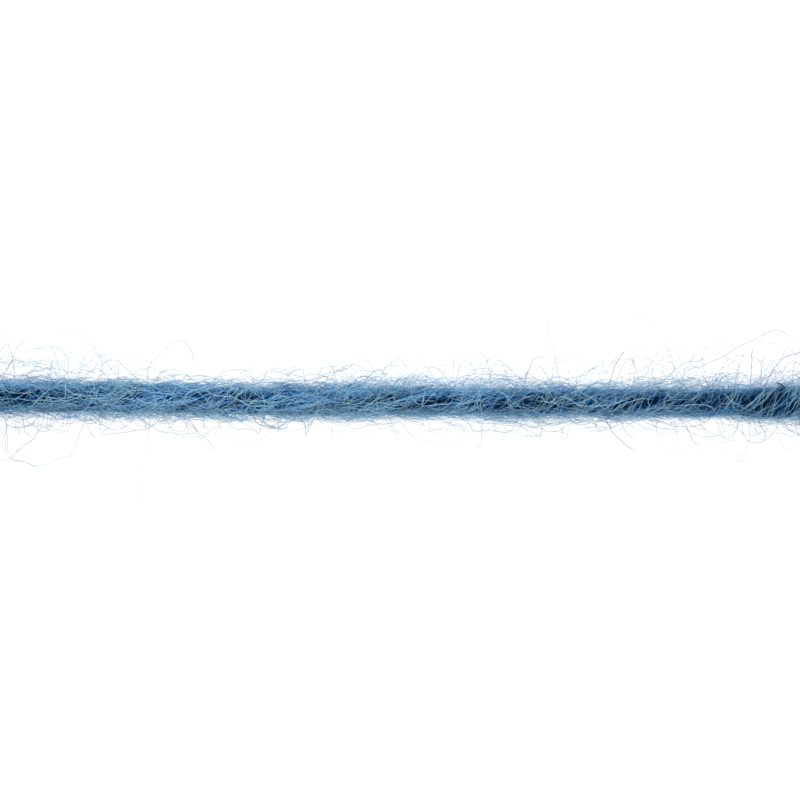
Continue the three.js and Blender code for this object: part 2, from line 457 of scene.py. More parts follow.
def bodyTree(values):
    board, given = geometryBoard("spun body", values)
    tube = board.node("GeometryNodeMeshCylinder", {"fill_type": "TRIANGLE_FAN"},
                      {"Vertices": given["Sides"], "Side Segments": given["Rings"],
                       "Fill Segments": cutFace["rings"], "Radius": 1.0, "Depth": 1.0}, out="Mesh")
    unwrapped = tube.also("UV Map")
    up, across, lengthways = board.parts(board.node("GeometryNodeInputPosition"))
    x = lengthways * (strand["length"] * mm)
    angle = board.maths("ARCTAN2", up, across)
    ring = board.maths("SQRT", up * up + across * across)
    coarse = streaks(board, x, angle, bundles)
    fine = streaks(board, x, angle, fibres)
    spot = Spot(board, given, x)
    surface, bearing = spot.surface(angle)
    relief = coarse * given["Bundle Depth"] + fine * given["Fibre Depth"] - given["Inset"]
    parting, _ = partingAt(board, given, spot, bearing, surface)
    reach = surface + relief - parting * given["Dent"]

    # rounded rims and slightly domed cut ends, tufted where the fibres stop
    beyond = (board.maths("ABSOLUTE", x) - halfLength * mm) / given["Rim"] + 1
    rim = board.maths("MAXIMUM", beyond, 0.0)
    reach = reach * ring * board.maths("SQRT", 1 - rim * rim * cutFace["fall"])
    back = rim * rim * ring * ring * given["Dome"]
    outwards = board.maths("SIGN", x)
    width = given["Tuft Width"]
    grid = board.vector(across / width, up / width, outwards * cutFace["apart"])
    tuft = board.noise(grid, detail=2.0) - 0.5
    face = board.ease(1 - ring, 0.0, cutFace["rise"])
    place = spot.place(bearing, reach, 0.0, x + outwards * (tuft * face * given["Tuft"] - back))

    kept = board.store(tube, "OFBake", unwrapped, "FLOAT2", "CORNER")
    # the parting depth is kept for the material, which darkens the wool there with painted shade
    kept = board.store(kept, "parting", parting)
    cut = board.ease(board.maths("ABSOLUTE", x), (halfLength - cutFace["shaded"]) * mm, halfLength * mm)
    # the streaks that sink the lower bundles also darken them, partly their own tone and partly painted shade
    tone = coarse * bodyTones["bundle"] + fine + spot.pale + cut * bodyTones["cut"]
    tone = tone + face * (tuft * bodyTones["tuft"] + bodyTones["face"]) + bodyTones["middle"]
    kept = board.store(kept, "tone", tone)
    moved = board.node("GeometryNodeSetPosition", None, {"Geometry": kept, "Position": place})
    closeTree(board, moved, given["Material"])
    return board.tree


# Wool in one of its shades; tone is kept on the fibres, 0 deep and 1 pale
def woolMaterial(name, look):
    material = bpy.data.materials.new(name)
    material.use_nodes = True
    material.node_tree.nodes.clear()
    board = Board(material.node_tree)
    place = board.node("ShaderNodeTexCoord", None, None, out="Object")
    tone = board.node("ShaderNodeAttribute", {"attribute_name": "tone"}, None, out="Fac")
    parting = board.node("ShaderNodeAttribute", {"attribute_name": "parting"}, None, out="Fac")
    mottle = board.noise(place, detail=2.0, Scale=look["mottlesPerMetre"])
    grain = board.noise(place, detail=1.0, Scale=look["grainsPerMetre"])
    # where a parting lies, the colour is darkened with painted shade
    shade = tone + (mottle - 0.5) * look["mottle"] - parting * look["partingPaintedShade"]
    if "hairsRound" in look:  # single fibres of the dense wool, drawn along its twist
        around, along, _ = board.parts(board.node("ShaderNodeUVMap", {"uv_map": "OFBake"}))
        lines = board.vector(around * look["hairsRound"], along * look["hairsAlong"], 0.0)
        hair = board.noise(lines, detail=3.0, flat=True, Roughness=0.7)
        shade = shade + (hair - 0.5) * look["hairShade"]
        grain = grain + hair * look["hairRelief"]
    colour = board.node("ShaderNodeValToRGB", {"stops": look["stops"]}, {"Fac": shade})
    roughness = look["roughness"] + (grain - 0.5) * look["roughnessSpread"]
    bump = board.node("ShaderNodeBump", None,
                      {"Strength": look["bump"], "Distance": look["bumpHeight"], "Height": grain})
    surface = board.node("ShaderNodeBsdfPrincipled", None, {
        "Base Color": colour, "Roughness": roughness, "Normal": bump, "Specular IOR Level": look["gloss"]})
    board.node("ShaderNodeOutputMaterial", None, {"Surface": surface})
    return material


bodyLook = dict(
    stops=[(0.0, (0.002, 0.024, 0.093)), (0.45, (0.006, 0.074, 0.228)), (1.0, (0.022, 0.182, 0.480))],
    mottle=0.4, mottlesPerMetre=900, grainsPerMetre=9000, partingPaintedShade=0.34,
    hairsRound=90, hairsAlong=60, hairShade=2.2, hairRelief=2,
    roughness=0.8, roughnessSpread=0.3, bump=0.5, bumpHeight=0.03 * mm, gloss=0.03,
)
fibreLook = dict(
    stops=[(0.0, (0.002, 0.030, 0.118)), (0.35, (0.006, 0.096, 0.320)), (0.7, (0.024, 0.308, 0.810)),
           (1.0, (0.450, 0.805, 1.000))],
    mottle=0.6, mottlesPerMetre=700, grainsPerMetre=14000, partingPaintedShade=0.0,
    roughness=0.6, roughnessSpread=0.2, bump=0.3, bumpHeight=0.01 * mm, gloss=0.05,
)
fuzzLook = dict(fibreLook, stops=[
    (0.0, (0.003, 0.034, 0.135)), (0.35, (0.008, 0.105, 0.325)), (0.7, (0.050, 0.312, 0.680)),
    (1.0, (0.410, 0.740, 0.930)),
])
looseLook = dict(fibreLook, stops=[
    (0.0, (0.006, 0.045, 0.140)), (0.35, (0.020, 0.130, 0.310)), (0.7, (0.115, 0.310, 0.550)),
    (1.0, (0.430, 0.660, 0.800)),
])
bodyWool = woolMaterial("body_wool", bodyLook)
fibreWool = woolMaterial("fibre_wool", fibreLook)
fuzzWool = woolMaterial("fuzz_wool", fuzzLook)
looseWool = woolMaterial("loose_wool", looseLook)
print("wool dyed")

bodyValues = {"Route": route, "Partings": parted, **body, "Material": bodyWool}
strandBody = grow("strand_body", bodyTree(bodyValues), bodyValues)


tubeSides = 3
cell = dict(left=0.12, long=0.76, low=0.1, high=1.2, skew=0.05)  # a fibre's place in its cell


# Tubes along curves that carry fibre, along, tone and width. Each fibre gets a cell of the bake
# map of its own.
def tubes(board, given, curves):
    ring = board.node("GeometryNodeCurvePrimitiveCircle", None,
                      {"Resolution": tubeSides, "Radius": 1.0}, out="Curve")
    ring = board.store(ring, "around", board.node("GeometryNodeInputIndex") / tubeSides)
    mesh = board.node("GeometryNodeCurveToMesh", None,
                      {"Curve": curves, "Profile Curve": ring, "Scale": board.attribute("width"),
                       "Fill Caps": True})
    fibre = board.attribute("fibre")
    around = board.attribute("around")
    row = board.maths("FLOOR", (fibre + 0.5) / given["Columns"])
    column = fibre - row * given["Columns"]
    skew = board.maths("SINE", around * (2 * math.pi)) * cell["skew"]
    u = (column + board.attribute("along") * cell["long"] + skew + cell["left"]) / given["Columns"]
    v = (row + around * cell["high"] + cell["low"]) / given["Columns"]
    mesh = board.store(mesh, "OFBake", board.vector(u, v, 0.0), "FLOAT2", "CORNER")
    closeTree(board, mesh, given["Material"])


# What all layers of fibre share: the range of thickness in a layer, how much an end thins and how
# sharply it dips, how much of a stray goes upwards, how unevenly fibres stop at the cuts and the lift
# over which lower fibres are given painted shade
fibreShape = dict(
    thickness=(0.6, 1.4), endThins=0.6, endPower=10, wanderUp=0.2, crimpUp=0.5,
    inside=0.45, cutStray=0.3 * mm, paintedShadeRange=0.3 * mm, seedStep=10000, noiseStep=7.31,
)


# Fibres that follow the strand, cross it or stand off it. Each has its own length, lean and lift;
# its ends tuck into the wool, or the last stays free where the comeback is short.
def fibreTree(values):
    board, given = geometryBoard("wool fibres", values)
    index = board.node("GeometryNodeInputIndex")
    count = given["Fibres"] * given["Points"]
    fibre = board.maths("FLOOR", (index + 0.5) / given["Points"])
    along = (index - fibre * given["Points"]) / (given["Points"] - 1)
    shape = fibreShape
    own = fibre + given["Seed"] * shape["seedStep"]
    drawn = []

    def draw(low, high):
        drawn.append(None)
        return board.node("FunctionNodeRandomValue", {"data_type": "FLOAT"},
                          {"Min": low, "Max": high, "ID": own, "Seed": len(drawn)})

    def wobble(wave, size):  # three numbers that stray smoothly along the fibre
        vector = board.vector(along * length / wave, own * shape["noiseStep"], 0.0)
        x, y, z = board.parts(board.noise(vector, detail=1.0, flat=True, out="Color"))
        return (x - 0.5) * size, (y - 0.5) * size, (z - 0.5) * size

    length = draw(given["Shortest"], given["Longest"])
    start = draw(given["Bearing Low"], given["Bearing High"])
    lean = (draw(-1.0, 1.0) + draw(-1.0, 1.0)) * given["Spread"] * 0.5
    wander = wobble(given["Wander Length"], given["Wander"])
    crimp = wobble(given["Crimp Length"], given["Crimp"])
    span = (along - 0.5) * length
    centre = draw(-1.0, 1.0) * (halfLength * mm - length * shape["inside"])
    middle = Spot(board, given, centre)
    lean = lean + streaks(board, centre, start + middle.turn, flow) * given["Flow"] + middle.lean()
    x = centre + span * board.maths("COSINE", lean) + wander[0] + crimp[0]
    limit = halfLength * mm + draw(-shape["cutStray"], shape["cutStray"])
    x = board.maths("MAXIMUM", board.maths("MINIMUM", x, limit), limit * -1)
    spot = Spot(board, given, x)
    sideways = span * board.maths("SINE", lean) + wander[1] + crimp[1]
    angle = start + middle.turn + sideways / patternRadius
    surface, bearing = spot.surface(angle)

    pile, loose = middle.halo(start)
    share = draw(0.0, 1.0) ** given["Arch Power"]
    arch = given["Arch High"] + pile * given["Pile Share"] + loose * given["Loose Share"]
    arch = given["Arch Low"] + arch * share
    rise = board.maths("SINE", along * draw(given["Comeback"], 1.0) * math.pi) * arch
    ends = board.maths("ABSOLUTE", along * 2 - 1) ** shape["endPower"]
    # the fibre groups: where they run low they sink and darken, partly their own tone and partly painted
    # shade
    bundle = streaks(board, x, angle, bundles)
    lift = draw(given["Lift Low"], given["Lift High"]) + rise
    lift = lift + wander[2] * shape["wanderUp"] + crimp[2] * shape["crimpUp"]
    lift = lift - ends * given["Tuck"] + bundle * given["Bundle Depth"]
    outwards = board.maths("COSINE", bearing)
    parting, side = partingAt(board, given, spot, bearing, surface)
    lift = lift - parting * given["Dent"]
    width = draw(*shape["thickness"]) * given["Thickness"] * middle.coarse()
    bearing = bearing + side * parting * given["Push"] / patternRadius
    place = spot.place(bearing, surface + lift, width)

    # a fibre that sinks into a parting is darkened with painted shade
    tone = draw(given["Tone Low"], given["Tone High"]) - parting * given["Parting Painted Shade"]
    # fibres lying lower are darker and higher ones lighter: painted shade of the deeper wool
    tone = tone + board.ease(lift, -shape["paintedShadeRange"], shape["paintedShadeRange"]) * given["Lift Painted Shade"]
    # towards the sides of the strand, as seen from above, the fibres are made lighter: painted light, as from
    # the glowing table beside them
    tone = tone + bundle * given["Bundle Tone And Painted Shade"] + outwards * outwards * given["Side Painted Light"]
    tone = tone + spot.pale * given["Pale Share"]
    points = board.node("GeometryNodePoints", None, {"Count": count, "Position": place})
    for name, value in (("fibre", fibre), ("along", along), ("tone", tone),
                        ("width", width * (1 - ends * shape["endThins"]))):
        points = board.store(points, name, value)
    curves = board.node("GeometryNodePointsToCurves", None,
                        {"Points": points, "Curve Group ID": board.attribute("fibre"),
                         "Weight": board.attribute("along")})
    tubes(board, given, curves)
    return board.tree


# Where round the strand a layer starts, -90 degrees being its underside
allRound = {"Bearing Low": -180 * degree, "Bearing High": 180 * degree}
overTop = {"Bearing Low": -50 * degree, "Bearing High": 230 * degree}
farSide = {"Bearing Low": -60 * degree, "Bearing High": 22 * degree}
nearSide = {"Bearing Low": 158 * degree, "Bearing High": 240 * degree}
underFibres = {
    "Fibres": 900, "Points": 18, "Seed": 1, "Shortest": 8.0 * mm, "Longest": 14.0 * mm,
    **allRound, "Spread": 20 * degree, "Flow": 40 * degree,
    "Wander": 0.9 * mm, "Wander Length": 3.2 * mm, "Crimp": 0.08 * mm, "Crimp Length": 0.9 * mm,
    "Lift Low": -0.24 * mm, "Lift High": -0.12 * mm, "Bundle Depth": 0.30 * mm,
    "Arch Low": 0.0, "Arch High": 0.06 * mm, "Arch Power": 1.0, "Pile Share": 0.0, "Loose Share": 0.0,
    "Comeback": 1.0, "Tuck": 0.12 * mm, "Dent": 0.18 * mm, "Push": 0.08 * mm,
    "Parting Width": partingWidth, "Thickness": 0.019 * mm, "Tone Low": 0.18, "Tone High": 0.42,
    # the last row: painted shade in partings and on low fibres, bundle tone that is partly painted shade,
    # painted light on the sides, and paleness along the strand
    "Parting Painted Shade": 0.34, "Lift Painted Shade": 0.15, "Bundle Tone And Painted Shade": 1.8, "Side Painted Light": 0.26, "Pale Share": 1.0,
}
wrapFibres = dict(underFibres, **{
    "Fibres": 1750, "Points": 19, "Seed": 2, "Spread": 48 * degree, "Flow": 50 * degree,
    "Shortest": 6.0 * mm, "Longest": 12.0 * mm,
    "Wander": 1.6 * mm, "Wander Length": 2.8 * mm, "Crimp": 0.10 * mm,
    "Lift Low": -0.18 * mm, "Lift High": -0.04 * mm, "Arch High": 0.10 * mm, "Thickness": 0.0118 * mm,
    "Push": 0.16 * mm, "Tone Low": 0.0, "Tone High": 0.82, "Parting Painted Shade": 0.55, "Bundle Tone And Painted Shade": 2.4,
    **overTop,
})
crossFibres = dict(underFibres, **{
    "Fibres": 500, "Points": 32, "Seed": 3, "Spread": 96 * degree, "Flow": 10 * degree,
    "Shortest": 5.0 * mm, "Longest": 15.0 * mm,
    "Wander": 2.6 * mm, "Wander Length": 3.8 * mm, "Crimp": 0.12 * mm, "Crimp Length": 1.1 * mm,
    "Lift Low": -0.10 * mm, "Lift High": 0.08 * mm, "Arch High": 0.16 * mm, "Dent": 0.06 * mm, "Push": 0.0,
    "Thickness": 0.0150 * mm, "Tone Low": 0.45, "Tone High": 2.20, "Parting Painted Shade": 0.60,
    "Bundle Depth": 0.06 * mm, **overTop,
})
# Short pile, in paler tones than the wool under it: partly the fibres' own colour and partly painted light
# shining through them
fuzzFibres = dict(underFibres, **{
    "Fibres": 4200, "Points": 8, "Shortest": 1.6 * mm, "Longest": 4.0 * mm, "Spread": 74 * degree,
    "Wander": 1.3 * mm, "Wander Length": 1.8 * mm, "Crimp": 0.20 * mm, "Crimp Length": 0.8 * mm,
    "Lift Low": -0.25 * mm, "Lift High": -0.05 * mm, "Arch Low": 0.08 * mm, "Arch High": 0.0,
    "Arch Power": 2.0, "Pile Share": 1.02, "Comeback": 0.5, "Tuck": 0.0, "Dent": 0.0, "Push": 0.0,
    "Thickness": 0.0120 * mm, "Tone Low": 0.42, "Tone High": 1.25, "Parting Painted Shade": 0.0,
    "Lift Painted Shade": 0.1, "Bundle Tone And Painted Shade": 0.6, "Bundle Depth": 0.0, "Side Painted Light": 0.0, "Pale Share": 0.3,
})
looseFibres = dict(fuzzFibres, **{
    "Fibres": 430, "Points": 20, "Shortest": 3.0 * mm, "Longest": 8.0 * mm, "Spread": 90 * degree,
    "Wander": 2.4 * mm, "Wander Length": 3.0 * mm, "Crimp": 0.5 * mm, "Crimp Length": 1.2 * mm,
    "Arch High": 0.3 * mm, "Arch Power": 1.8, "Pile Share": 0.0, "Loose Share": 1.1,
    "Thickness": 0.0145 * mm, "Tone Low": 0.55, "Tone High": 1.15,
})
# the near-side fuzz is made paler: painted light, in place of the light that its shaded side lacks
nearPaintedLightTones = {"Tone Low": 0.50, "Tone High": 1.35}

fibreLayers = [
    ("strand_under", underFibres, fibreWool),
    ("strand_wrap", wrapFibres, fibreWool),
    ("strand_cross", crossFibres, fibreWool),
    ("fuzz_far_short", {**fuzzFibres, **farSide, "Seed": 4}, fuzzWool),
    ("fuzz_near_short", {**fuzzFibres, **nearSide, **nearPaintedLightTones, "Seed": 5}, fuzzWool),
    ("fuzz_far_loose", {**looseFibres, **farSide, "Seed": 6}, looseWool),
    ("fuzz_near_loose", {**looseFibres, **nearSide, **nearPaintedLightTones, "Seed": 7}, looseWool),
]
grown = {"strand_body": strandBody}
woolTree = None
for name, layer, material in fibreLayers:
    columns = math.ceil(math.sqrt(layer["Fibres"]))
    values = {"Route": route, "Partings": parted, **layer, "Columns": columns, "Material": material}
    woolTree = woolTree or fibreTree(values)
    grown[name] = grow(name, woolTree, values)


# Long hairs that stand well off the strand, listed one by one: the height of the tip over the table,
# how thick the hair is against the others, and its path as seen from above, from root to tip
farHairs = [
    (1.4, 0.5, [(-31.8, 1), (-31, 2.3), (-29.6, 2.7), (-28.2, 2.5), (-27, 2.9)]),
    (1.6, 0.5, [(-29.4, 1), (-30.4, 2.2), (-31.6, 2.9), (-32.4, 2.6), (-33.6, 2.8)]),
    (1.5, 0.5, [(-33.2, 1), (-31.6, 2), (-30.2, 2.2), (-28.8, 2), (-27.2, 2.3)]),
    (1.3, 0.5, [(-26.4, 1), (-27.4, 1.9), (-29.2, 2.3), (-31, 2.1), (-32.8, 2.4)]),
    (1.6, 0.5, [(-31.6, 1), (-30.8, 2.6), (-29.8, 3.3), (-29, 3), (-29.4, 2.5)]),
    (1.7, 0.5, [(-28, 1), (-29.6, 2.4), (-30.8, 3.1), (-32, 3.3), (-33.4, 3.1)]),
    (1.2, 0.5, [(-30.6, 1), (-29.4, 1.8), (-27.6, 2), (-25.8, 1.8), (-24.4, 1.9)]),
    (1.5, 0.6, [(-25.4, 1), (-28.2, 2.4), (-30.2, 2.9), (-32.8, 2.7)]),
    (1.7, 0.6, [(-27.2, 1), (-28.8, 2.6), (-30.8, 3.2), (-33.4, 3)]),
    (1.5, 0.6, [(-34.6, 1), (-33, 2.5), (-31.2, 3.1), (-28.6, 2.9)]),
    (1.3, 0.6, [(-33.8, 1), (-31.8, 2.3), (-30.4, 2.7), (-28.2, 3.3)]),
    (1.4, 0.7, [(-24, 1), (-27.6, 2.9), (-30, 3.1), (-32.4, 3)]),
    (1.8, 0.7, [(-26, 1), (-28, 2.7), (-30.6, 2.8), (-33, 3.2)]),
    (2.4, 1.0, [(-26.7, 1), (-26.5, 2.6), (-26.6, 3.5), (-27.6, 4.3), (-29.2, 4.1), (-30.6, 3.8)]),
    (2.6, 1.0, [(-23.9, 1), (-23.8, 3.2), (-24.3, 3.8), (-24.6, 4.7), (-26, 5.6), (-28, 5.9)]),
    (2.2, 1.0, [(-24.2, 1), (-23.9, 2.4), (-23.4, 3.1), (-22.4, 3), (-21.1, 1.8), (-20.6, 1.2)]),
    (2.2, 1.0, [(-20.2, 1), (-20.1, 2.6), (-18.8, 4), (-17.8, 4.8), (-16.8, 4.2), (-16.2, 2.4)]),
    (1.6, 0.7, [(-26.6, 1), (-26.2, 2.3), (-25.4, 2.8), (-24.8, 2.2), (-25.4, 1.7), (-26.1, 2.1)]),
    (1.8, 0.6, [(-30, 1), (-31.2, 2.4), (-30.8, 3.2), (-30, 2.8), (-30.6, 2.3)]),
    (2.0, 0.6, [(-28.4, 1), (-28.2, 2.6), (-28.8, 3.5), (-29.6, 3.4), (-29.2, 2.8), (-28.6, 3.2)]),
    (1.4, 1.0, [(-31.2, 1), (-29.6, 2.2), (-27.8, 2.6), (-26.2, 2.2), (-24.6, 2.3)]),
    (1.2, 1.0, [(-19.6, 1), (-19.2, 2.1), (-18.6, 2.3), (-18.1, 1.9), (-18.5, 1.6)]),
    (1.6, 1.0, [(-18, 0.9), (-18, 2.5)]),
    (1.8, 0.6, [(-9.5, 0.9), (-9.5, 2.5)]),
    (1.8, 0.6, [(-7.4, 0.8), (-6.4, 2.3), (-5.2, 2.7), (-4, 2.4), (-3.2, 2.9)]),
    (1.6, 1.0, [(-6.2, 0.8), (-5.6, 2), (-4.4, 2.5), (-3.6, 3.1)]),
    (2.4, 0.6, [(-0.8, 0.8), (-0.1, 1.9), (0.5, 2.8), (1.9, 4.4)]),
    (2.4, 0.45, [(-0.7, 0.8), (-0.7, 2.6), (-0.6, 4.2)]),
    (1.6, 0.55, [(-3.6, 0.8), (-1.6, 2.5), (2, 2.8), (5.6, 2.6)]),
    (1.4, 0.55, [(1.4, 0.8), (3.2, 2.2), (5.6, 2.4), (8, 2.2)]),
    (1.2, 1.0, [(3.2, 0.9), (5, 1.9), (7.6, 2), (10.4, 1.7)]),
    (2.0, 1.0, [(9.6, 0.8), (10.2, 2.1), (10.6, 3.1), (11.8, 3.7)]),
    (1.8, 1.0, [(9.8, 0.8), (10.2, 2.2), (10.9, 2.8), (11.8, 1.9), (12, 1)]),
    (3.0, 0.8, [(12.8, 0.8), (12.6, 2.4), (12.2, 4), (11.8, 5.4), (11.3, 7)]),
    (2.4, 0.6, [(11.9, 0.8), (12.4, 3.2), (13.3, 3.6), (14.8, 3.3), (16.1, 3.9)]),
    (1.8, 0.5, [(13.5, 0.8), (13.4, 2.6), (13.2, 3.8)]),
    (1.6, 0.5, [(12.8, 0.8), (11.4, 2.6), (12.6, 3.1), (13.6, 3)]),
    (1.8, 0.6, [(14.2, 0.8), (14.2, 2.8), (16, 2.4), (17.2, 2.2)]),
    (2.4, 1.5, [(16.6, 0.8), (17, 2.4), (17.4, 3.2), (17.9, 3.9)]),
    (1.8, 1.0, [(19.4, 0.9), (18.8, 2.6), (18.2, 3.8)]),
    (2.2, 1.0, [(22.2, 0.9), (21.6, 2.2), (20, 3.2), (19.2, 4.2), (18.4, 4)]),
    (2.8, 0.55, [(21.7, 0.9), (21.7, 3.6), (20.6, 5.6), (19.2, 6.6), (17.3, 5.6), (16.4, 4.2)]),
    (1.8, 1.0, [(23, 0.9), (22.2, 2.4), (21, 3.4)]),
    (2.6, 1.0, [(22.2, 0.9), (23, 2.3), (25, 3.1), (26.8, 4.1), (28.8, 5.1), (30.2, 5.5), (31.9, 4.7)]),
    (2.6, 0.6, [(22.8, 1), (23.4, 3.4), (25.2, 4.4), (27, 4.8)]),
    (2.4, 0.55, [(26.6, 1), (27.8, 4.2), (29.4, 4.6), (31.4, 4.1)]),
    (2.0, 0.6, [(25.4, 1), (26.2, 3.2), (28, 3.4), (29.6, 3.1), (32.4, 4)]),
    (1.8, 0.55, [(26.3, 1), (26.2, 3.5)]),
    (2.0, 0.55, [(26.8, 1), (26.6, 3.3)]),
    (1.6, 0.5, [(27, 1), (27.1, 3.4)]),
    (2.2, 1.4, [(28, 1), (28.1, 3), (28.2, 4.3)]),
    (2.0, 1.0, [(29, 1), (29.8, 2.4), (31.2, 3.6), (33, 4)]),
    (1.8, 1.0, [(33, 1), (32.4, 2.6), (31.2, 3), (30.4, 2.3)]),
    (1.6, 1.0, [(35, 1), (35.6, 2.8), (36.8, 3.6), (38, 3.2)]),
    (2.0, 1.0, [(-35, 1), (-35.8, 2.8), (-37.2, 3.6), (-38.2, 3)]),
]
nearHairs = [
    (1.2, 1.2, [(-28.4, -0.6), (-28.7, -2.2), (-29.2, -3), (-30.4, -3.9), (-31.2, -4.6)]),
    (1.4, 1.0, [(-31, -0.6), (-31.6, -3.3), (-31.2, -4.6), (-30, -5), (-29.1, -5.3), (-28.4, -5)]),
    (1.0, 1.0, [(-31.6, -0.6), (-31.4, -2.4), (-31.4, -4), (-31, -4.6)]),
    (1.2, 1.0, [(-28.8, -0.6), (-29.1, -2.8), (-30, -3.7), (-31.2, -4.7)]),
    (1.4, 1.2, [(-24.8, -0.7), (-25.8, -3.2), (-26.2, -4.2), (-27.4, -4.7), (-29.1, -5.3), (-31, -4.7),
        (-32.6, -5.2)]),
    (1.2, 0.6, [(-25, -0.7), (-25.8, -2.7), (-27.2, -2.6), (-28.6, -3.4), (-29, -4)]),
    (1.4, 0.5, [(-32.2, -0.6), (-31.2, -3.2), (-30.2, -2.5), (-29.7, -3), (-30.2, -3.4)]),
    (1.0, 1.0, [(-28.4, -0.6), (-29.4, -1.9), (-31.4, -2.2)]),
    (1.2, 1.0, [(-25.4, -0.7), (-24.9, -2.3), (-24.3, -3.2)]),
    (1.4, 1.0, [(-24, -0.7), (-24, -2.5)]),
    (1.0, 1.0, [(-22.4, -0.7), (-23, -1.9), (-23.9, -2.7), (-22.2, -2.6), (-20.4, -2.3)]),
    (2.0, 0.6, [(-20, -0.8), (-20.1, -3.2), (-20.3, -4.4), (-20.8, -5.8), (-21, -7.2), (-20.5, -8.8)]),
    (1.2, 1.0, [(-21.6, -0.8), (-20, -2.1), (-17.8, -2.7), (-16.4, -2.6)]),
    (1.4, 0.6, [(-18.6, -0.8), (-16.9, -2.3), (-17.6, -3.2), (-18.6, -3.8)]),
    (1.6, 1.0, [(-18.2, -0.8), (-16.8, -2.3), (-15.5, -3.5), (-15, -4.6)]),
    (1.4, 1.0, [(-18, -0.8), (-16.6, -2.2), (-15.3, -3.3), (-14.8, -4.4)]),
    (1.0, 0.6, [(-15, -0.8), (-14.2, -2.5), (-12.8, -3.4), (-11.4, -3.3), (-10.2, -2.2), (-9.8, -1.2)]),
    (1.2, 0.5, [(-16, -0.8), (-14.8, -3.6), (-13.2, -4.2), (-11.2, -4.1)]),
    (1.2, 0.5, [(-3.6, -1), (-3.1, -2.4), (-2.6, -3.2), (-2, -2.7), (-2.3, -2.1)]),
    (1.0, 1.0, [(-1.4, -1), (-0.8, -2.1), (-0.1, -2.9)]),
    (1.2, 1.0, [(-1.1, -1), (-0.5, -2.2), (0.2, -3)]),
    (0.8, 0.55, [(-0.6, -1), (0.8, -2.7), (2.4, -2.5), (4, -1.9)]),
    (1.4, 0.5, [(-0.4, -1), (1.2, -3), (4.6, -3.4), (6.2, -3.8), (8, -3)]),
    (1.0, 0.5, [(6.4, -1), (8, -2.7), (10, -2.9), (12, -2.6)]),
    (1.0, 0.5, [(10.6, -1.1), (12, -2.4), (14.4, -2.7)]),
    (1.2, 1.3, [(16.2, -1), (16.8, -2.1), (17.6, -3.2), (19, -4.1)]),
    (1.0, 1.0, [(17.4, -1), (18, -2.5), (18.9, -3.2)]),
    (1.0, 1.0, [(18.8, -1), (20, -2), (22, -2.4)]),
    (1.2, 1.0, [(22, -1), (23.2, -2.6), (23.5, -3.4), (24.2, -3.6)]),
    (1.4, 0.5, [(20.4, -1), (20.9, -3.8), (22.8, -4.4), (25, -4.2), (27.2, -3.9)]),
    (1.2, 0.55, [(23.8, -1), (24.8, -3.2), (27.2, -3.2)]),
    (1.4, 1.0, [(27.2, -1), (27.7, -3.2), (29.2, -3.2), (30, -2.3), (30.4, -1.4)]),
    (1.6, 1.0, [(28, -1), (27.8, -3.6), (26.9, -4.6), (27.3, -4.9), (27.8, -4.5)]),
    (1.2, 1.0, [(28.2, -1), (29, -2.4), (29.3, -2.9), (28.9, -3.2)]),
    (1.2, 1.0, [(34, -1), (34.8, -2.6), (36.2, -3.2), (37.6, -2.8)]),
    (1.2, 1.0, [(-36, -0.6), (-36.8, -2.6), (-38, -3)]),
]
